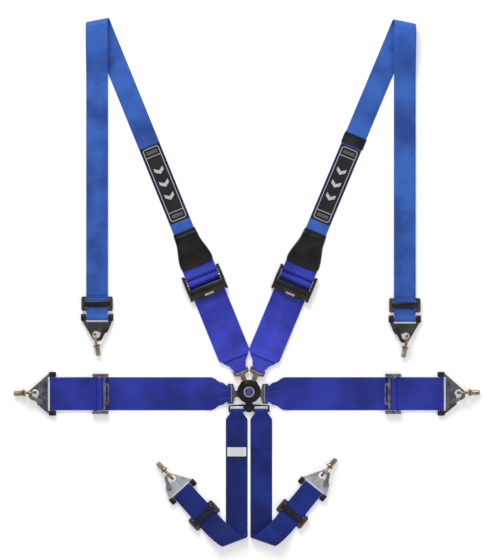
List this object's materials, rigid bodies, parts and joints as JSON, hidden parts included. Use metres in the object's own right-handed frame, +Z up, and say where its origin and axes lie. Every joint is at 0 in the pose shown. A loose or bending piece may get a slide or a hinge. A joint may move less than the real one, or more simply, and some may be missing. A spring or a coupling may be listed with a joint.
{
  "type": "racing harness",
  "caption": "Racing harness laid flat: webbing shoulder, lap and crotch straps on a central rotary buckle, with adjusters, slides, snap hooks with sprung gates, and threaded eye bolts",
  "frame": {"origin": "on the buckle axis, at the face of the back plate that the harness rests on", "axes": "+Y towards the shoulder straps, +X towards the right lap strap as seen from above, +Z up through the lever"},
  "size_m": [1.0703, 1.212, 0.0324],
  "materials": {
    "buckle_black": "satin",
    "badge": "gloss",
    "bright_steel": "brushed",
    "tongue_bronze": "satin",
    "dark_steel": "satin",
    "webbing_shoulder_wide": "woven",
    "webbing_shoulder": "woven",
    "cover_vinyl": "grained",
    "label_black": "woven",
    "adjuster_black": "satin",
    "slide_black": "satin",
    "webbing_lap": "woven",
    "webbing_crotch": "woven",
    "hook_black": "satin",
    "hook_grey": "satin",
    "hook_zinc": "satin",
    "bolt_zinc": "satin"
  },
  "bodies": {
    "buckle": {"back_plate": "buckle_black", "housing": "buckle_black", "return_spring": "bright_steel", "case_screws": "bright_steel", "lap_tongue_left": "dark_steel"},
    "lever": {"lever": "buckle_black", "badge": "badge"},
    "lock_pins": {"lock_pins": "bright_steel"},
    "shoulder_tongue_left": {"shoulder_tongue_left": "tongue_bronze"},
    "shoulder_lower_left": {"shoulder_lower_strap_left": "webbing_shoulder_wide"},
    "shoulder_adjuster_left": {"shoulder_adjuster_left": "adjuster_black"},
    "shoulder_adjuster_bar_left": {"shoulder_adjuster_bar_left": "bright_steel"},
    "shoulder_upper_left": {"shoulder_upper_strap_left": "webbing_shoulder", "shoulder_cover_left": "cover_vinyl", "shoulder_label_left": "label_black"},
    "shoulder_tail_left": {"shoulder_tail_left": "webbing_shoulder"},
    "shoulder_slide_left": {"shoulder_slide_left": "slide_black"},
    "shoulder_tongue_right": {"shoulder_tongue_right": "tongue_bronze"},
    "shoulder_lower_right": {"shoulder_lower_strap_right": "webbing_shoulder_wide"},
    "shoulder_adjuster_right": {"shoulder_adjuster_right": "adjuster_black"},
    "shoulder_adjuster_bar_right": {"shoulder_adjuster_bar_right": "bright_steel"},
    "shoulder_upper_right": {"shoulder_upper_strap_right": "webbing_shoulder", "shoulder_cover_right": "cover_vinyl", "shoulder_label_right": "label_black"},
    "shoulder_tail_right": {"shoulder_tail_right": "webbing_shoulder"},
    "shoulder_slide_right": {"shoulder_slide_right": "slide_black"},
    "lap_strap_left": {"lap_strap_left": "webbing_lap"},
    "lap_adjuster_left": {"lap_adjuster_left_frame": "adjuster_black"},
    "lap_adjuster_bar_left": {"lap_adjuster_bar_left": "bright_steel"},
    "lap_anchor_left": {"lap_anchor_strap_left": "webbing_lap"},
    "lap_tongue_right": {"lap_tongue_right": "dark_steel"},
    "lap_strap_right": {"lap_strap_right": "webbing_lap"},
    "lap_adjuster_right": {"lap_adjuster_right_frame": "adjuster_black"},
    "lap_adjuster_bar_right": {"lap_adjuster_bar_right": "bright_steel"},
    "lap_anchor_right": {"lap_anchor_strap_right": "webbing_lap"},
    "crotch_tongue": {"crotch_tongue": "buckle_black"},
    "crotch_strap_left": {"crotch_strap_left": "webbing_crotch"},
    "crotch_tail_left": {"crotch_tail_left": "webbing_crotch"},
    "crotch_slide_left": {"crotch_slide_left": "slide_black"},
    "crotch_strap_right": {"crotch_strap_right": "webbing_crotch"},
    "crotch_tail_right": {"crotch_tail_right": "webbing_crotch"},
    "crotch_slide_right": {"crotch_slide_right": "slide_black"},
    "shoulder_hook_left": {"shoulder_hook_left": "hook_black"},
    "shoulder_gate_left": {"shoulder_gate_left": "hook_black"},
    "shoulder_eye_bolt_left": {"shoulder_eye_bolt_left": "bolt_zinc"},
    "shoulder_hook_right": {"shoulder_hook_right": "hook_black"},
    "shoulder_gate_right": {"shoulder_gate_right": "hook_black"},
    "shoulder_eye_bolt_right": {"shoulder_eye_bolt_right": "bolt_zinc"},
    "lap_hook_left": {"lap_hook_left": "hook_grey"},
    "lap_gate_left": {"lap_gate_left": "hook_grey"},
    "lap_eye_bolt_left": {"lap_eye_bolt_left": "bolt_zinc"},
    "lap_hook_right": {"lap_hook_right": "hook_grey"},
    "lap_gate_right": {"lap_gate_right": "hook_grey"},
    "lap_eye_bolt_right": {"lap_eye_bolt_right": "bolt_zinc"},
    "crotch_hook_left": {"crotch_hook_left": "hook_zinc"},
    "crotch_gate_left": {"crotch_gate_left": "hook_zinc"},
    "crotch_eye_bolt_left": {"crotch_eye_bolt_left": "bolt_zinc"},
    "crotch_hook_right": {"crotch_hook_right": "hook_zinc"},
    "crotch_gate_right": {"crotch_gate_right": "hook_zinc"},
    "crotch_eye_bolt_right": {"crotch_eye_bolt_right": "bolt_zinc"}
  },
  "joints": [
    {"name": "lever_turn", "type": "hinge", "parent": "buckle", "child": "lever", "pos_m": [0, 0, 0.02], "axis": [0, 0, 1], "range_deg": [-45, 0]},
    {"name": "lock_pins_drop", "type": "slide", "parent": "buckle", "child": "lock_pins", "axis": [0, 0, 1], "range_m": [-0.0032, 0]},
    {"name": "shoulder_tongue_release_left", "type": "slide", "parent": "buckle", "child": "shoulder_tongue_left", "axis": [-0.3762, 0.9265, 0], "range_m": [0, 0.022]},
    {"name": "shoulder_strap_lift_left", "type": "hinge", "parent": "shoulder_tongue_left", "child": "shoulder_lower_left", "pos_m": [-0.02032, 0.05003, 0.0065], "axis": [0.9265, 0.3762, 0], "range_deg": [0, 60]},
    {"name": "shoulder_adjuster_tilt_left", "type": "hinge", "parent": "shoulder_lower_left", "child": "shoulder_adjuster_left", "pos_m": [-0.09406, 0.23163, 0.0065], "axis": [0.9265, 0.3762, 0], "range_deg": [0, 25]},
    {"name": "shoulder_bar_float_left", "type": "slide", "parent": "shoulder_adjuster_left", "child": "shoulder_adjuster_bar_left", "axis": [-0.3762, 0.9265, 0], "range_m": [0, 0.003]},
    {"name": "shoulder_strap_adjust_left", "type": "slide", "parent": "shoulder_adjuster_left", "child": "shoulder_upper_left", "axis": [-0.3762, 0.9265, 0], "range_m": [-0.01, 0.08]},
    {"name": "shoulder_tail_lift_left", "type": "hinge", "parent": "shoulder_upper_left", "child": "shoulder_tail_left", "pos_m": [-0.34048, 0.83851, 0.017], "axis": [-0.9815, -0.1917, 0], "range_deg": [0, 60]},
    {"name": "shoulder_slide_move_left", "type": "slide", "parent": "shoulder_tail_left", "child": "shoulder_slide_left", "axis": [0, 1, 0], "range_m": [0, 0.05]},
    {"name": "shoulder_tongue_release_right", "type": "slide", "parent": "buckle", "child": "shoulder_tongue_right", "axis": [0.3859, 0.9225, 0], "range_m": [0, 0.022]},
    {"name": "shoulder_strap_lift_right", "type": "hinge", "parent": "shoulder_tongue_right", "child": "shoulder_lower_right", "pos_m": [0.02084, 0.04982, 0.0065], "axis": [0.9225, -0.3859, 0], "range_deg": [0, 60]},
    {"name": "shoulder_adjuster_tilt_right", "type": "hinge", "parent": "shoulder_lower_right", "child": "shoulder_adjuster_right", "pos_m": [0.09648, 0.23064, 0.0065], "axis": [0.9225, -0.3859, 0], "range_deg": [0, 25]},
    {"name": "shoulder_bar_float_right", "type": "slide", "parent": "shoulder_adjuster_right", "child": "shoulder_adjuster_bar_right", "axis": [0.3859, 0.9225, 0], "range_m": [0, 0.003]},
    {"name": "shoulder_strap_adjust_right", "type": "slide", "parent": "shoulder_adjuster_right", "child": "shoulder_upper_right", "axis": [0.3859, 0.9225, 0], "range_m": [-0.01, 0.08]},
    {"name": "shoulder_tail_lift_right", "type": "hinge", "parent": "shoulder_upper_right", "child": "shoulder_tail_right", "pos_m": [0.34925, 0.8349, 0.017], "axis": [-0.9804, 0.1968, 0], "range_deg": [0, 60]},
    {"name": "shoulder_slide_move_right", "type": "slide", "parent": "shoulder_tail_right", "child": "shoulder_slide_right", "axis": [0, 1, 0], "range_m": [0, 0.05]},
    {"name": "lap_strap_lift_left", "type": "hinge", "parent": "buckle", "child": "lap_strap_left", "pos_m": [-0.046, -0.005, 0.0065], "axis": [0, 1, 0], "range_deg": [0, 45]},
    {"name": "lap_adjuster_move_left", "type": "slide", "parent": "lap_strap_left", "child": "lap_adjuster_left", "axis": [-1, 0, 0], "range_m": [-0.05, 0.05]},
    {"name": "lap_bar_float_left", "type": "slide", "parent": "lap_adjuster_left", "child": "lap_adjuster_bar_left", "axis": [1, 0, 0], "range_m": [0, 0.003]},
    {"name": "lap_anchor_lift_left", "type": "hinge", "parent": "lap_adjuster_left", "child": "lap_anchor_left", "pos_m": [-0.353, -0.005, 0.0065], "axis": [0, 1, 0], "range_deg": [0, 25]},
    {"name": "lap_tongue_release_right", "type": "slide", "parent": "buckle", "child": "lap_tongue_right", "axis": [1, 0, 0], "range_m": [0, 0.022]},
    {"name": "lap_strap_lift_right", "type": "hinge", "parent": "lap_tongue_right", "child": "lap_strap_right", "pos_m": [0.041, -0.005, 0.0065], "axis": [0, -1, 0], "range_deg": [0, 45]},
    {"name": "lap_adjuster_move_right", "type": "slide", "parent": "lap_strap_right", "child": "lap_adjuster_right", "axis": [1, 0, 0], "range_m": [-0.05, 0.05]},
    {"name": "lap_bar_float_right", "type": "slide", "parent": "lap_adjuster_right", "child": "lap_adjuster_bar_right", "axis": [-1, 0, 0], "range_m": [0, 0.003]},
    {"name": "lap_anchor_lift_right", "type": "hinge", "parent": "lap_adjuster_right", "child": "lap_anchor_right", "pos_m": [0.343, -0.005, 0.0065], "axis": [0, -1, 0], "range_deg": [0, 25]},
    {"name": "crotch_tongue_release", "type": "slide", "parent": "buckle", "child": "crotch_tongue", "axis": [0, -1, 0], "range_m": [0, 0.022]},
    {"name": "crotch_strap_lift_left", "type": "hinge", "parent": "crotch_tongue", "child": "crotch_strap_left", "pos_m": [-0.0282, -0.044, 0.0065], "axis": [-1, 0, 0], "range_deg": [0, 60]},
    {"name": "crotch_tail_lift_left", "type": "hinge", "parent": "crotch_strap_left", "child": "crotch_tail_left", "pos_m": [-0.0282, -0.331, 0.013], "axis": [0.9336, 0.3584, 0], "range_deg": [0, 70]},
    {"name": "crotch_slide_move_left", "type": "slide", "parent": "crotch_tail_left", "child": "crotch_slide_left", "axis": [-0.6691, 0.7431, 0], "range_m": [0, 0.04]},
    {"name": "crotch_strap_lift_right", "type": "hinge", "parent": "crotch_tongue", "child": "crotch_strap_right", "pos_m": [0.0282, -0.044, 0.0065], "axis": [-1, 0, 0], "range_deg": [0, 60]},
    {"name": "crotch_tail_lift_right", "type": "hinge", "parent": "crotch_strap_right", "child": "crotch_tail_right", "pos_m": [0.0282, -0.331, 0.013], "axis": [0.9426, -0.3338, 0], "range_deg": [0, 70]},
    {"name": "crotch_slide_move_right", "type": "slide", "parent": "crotch_tail_right", "child": "crotch_slide_right", "axis": [0.6293, 0.7771, 0], "range_m": [0, 0.04]},
    {"name": "shoulder_hook_swing_left", "type": "hinge", "parent": "shoulder_tail_left", "child": "shoulder_hook_left", "pos_m": [-0.34897, 0.16885, 0.0065], "axis": [-1, 0, 0], "range_deg": [0, 80]},
    {"name": "shoulder_gate_open_left", "type": "hinge", "parent": "shoulder_hook_left", "child": "shoulder_gate_left", "pos_m": [-0.33097, 0.14405, 0.00968], "axis": [0, -0.1271, -0.9919], "range_deg": [0, 14], "stiffness_Nm_per_rad": 0.02, "springref_deg": -17.19},
    {"name": "shoulder_eye_bolt_swing_left", "type": "hinge", "parent": "shoulder_hook_left", "child": "shoulder_eye_bolt_left", "pos_m": [-0.35197, 0.12025, 0.0177], "axis": [-0.9848, -0.1736, 0], "range_deg": [0, 100]},
    {"name": "shoulder_hook_swing_right", "type": "hinge", "parent": "shoulder_tail_right", "child": "shoulder_hook_right", "pos_m": [0.35796, 0.16515, 0.0065], "axis": [-1, 0, 0], "range_deg": [0, 80]},
    {"name": "shoulder_gate_open_right", "type": "hinge", "parent": "shoulder_hook_right", "child": "shoulder_gate_right", "pos_m": [0.33996, 0.14035, 0.00968], "axis": [0, 0.1271, 0.9919], "range_deg": [0, 14], "stiffness_Nm_per_rad": 0.02, "springref_deg": -17.19},
    {"name": "shoulder_eye_bolt_swing_right", "type": "hinge", "parent": "shoulder_hook_right", "child": "shoulder_eye_bolt_right", "pos_m": [0.36096, 0.11654, 0.0177], "axis": [-0.9848, 0.1736, 0], "range_deg": [0, 100]},
    {"name": "lap_hook_swing_left", "type": "hinge", "parent": "lap_anchor_left", "child": "lap_hook_left", "pos_m": [-0.453, -0.005, 0.0065], "axis": [0, 1, 0], "range_deg": [0, 80]},
    {"name": "lap_gate_open_left", "type": "hinge", "parent": "lap_hook_left", "child": "lap_gate_left", "pos_m": [-0.4778, -0.023, 0.00968], "axis": [-0.1271, 0, -0.9919], "range_deg": [0, 14], "stiffness_Nm_per_rad": 0.02, "springref_deg": -17.19},
    {"name": "lap_eye_bolt_swing_left", "type": "hinge", "parent": "lap_hook_left", "child": "lap_eye_bolt_left", "pos_m": [-0.5016, -0.002, 0.0177], "axis": [-0.0698, 0.9976, 0], "range_deg": [0, 100]},
    {"name": "lap_hook_swing_right", "type": "hinge", "parent": "lap_anchor_right", "child": "lap_hook_right", "pos_m": [0.443, -0.005, 0.0065], "axis": [0, -1, 0], "range_deg": [0, 80]},
    {"name": "lap_gate_open_right", "type": "hinge", "parent": "lap_hook_right", "child": "lap_gate_right", "pos_m": [0.4678, -0.023, 0.00968], "axis": [-0.1271, 0, 0.9919], "range_deg": [0, 14], "stiffness_Nm_per_rad": 0.02, "springref_deg": -17.19},
    {"name": "lap_eye_bolt_swing_right", "type": "hinge", "parent": "lap_hook_right", "child": "lap_eye_bolt_right", "pos_m": [0.4916, -0.002, 0.0177], "axis": [0, -1, 0], "range_deg": [0, 100]},
    {"name": "crotch_hook_swing_left", "type": "hinge", "parent": "crotch_tail_left", "child": "crotch_hook_left", "pos_m": [-0.15295, -0.22888, 0.0065], "axis": [0.7431, 0.6691, 0], "range_deg": [0, 80]},
    {"name": "crotch_gate_open_left", "type": "hinge", "parent": "crotch_hook_left", "child": "crotch_gate_left", "pos_m": [-0.18292, -0.22249, 0.00968], "axis": [-0.0851, 0.0945, -0.9919], "range_deg": [0, 14], "stiffness_Nm_per_rad": 0.02, "springref_deg": -17.19},
    {"name": "crotch_eye_bolt_swing_left", "type": "hinge", "parent": "crotch_hook_left", "child": "crotch_eye_bolt_left", "pos_m": [-0.18324, -0.19075, 0.0177], "axis": [0.7071, 0.7071, 0], "range_deg": [0, 100]},
    {"name": "crotch_hook_swing_right", "type": "hinge", "parent": "crotch_tail_right", "child": "crotch_hook_right", "pos_m": [0.14644, -0.22247, 0.0065], "axis": [0.7771, -0.6293, 0], "range_deg": [0, 80]},
    {"name": "crotch_gate_open_right", "type": "hinge", "parent": "crotch_hook_right", "child": "crotch_gate_right", "pos_m": [0.17603, -0.21453, 0.00968], "axis": [-0.08, -0.0988, 0.9919], "range_deg": [0, 14], "stiffness_Nm_per_rad": 0.02, "springref_deg": -17.19},
    {"name": "crotch_eye_bolt_swing_right", "type": "hinge", "parent": "crotch_hook_right", "child": "crotch_eye_bolt_right", "pos_m": [0.17469, -0.18282, 0.0177], "axis": [0.7431, -0.6691, 0], "range_deg": [0, 100]}
  ],
  "couplings": [
    {"joint": "lock_pins_drop", "follows": "lever_turn", "m_per_rad": 0.004074}
  ]
}
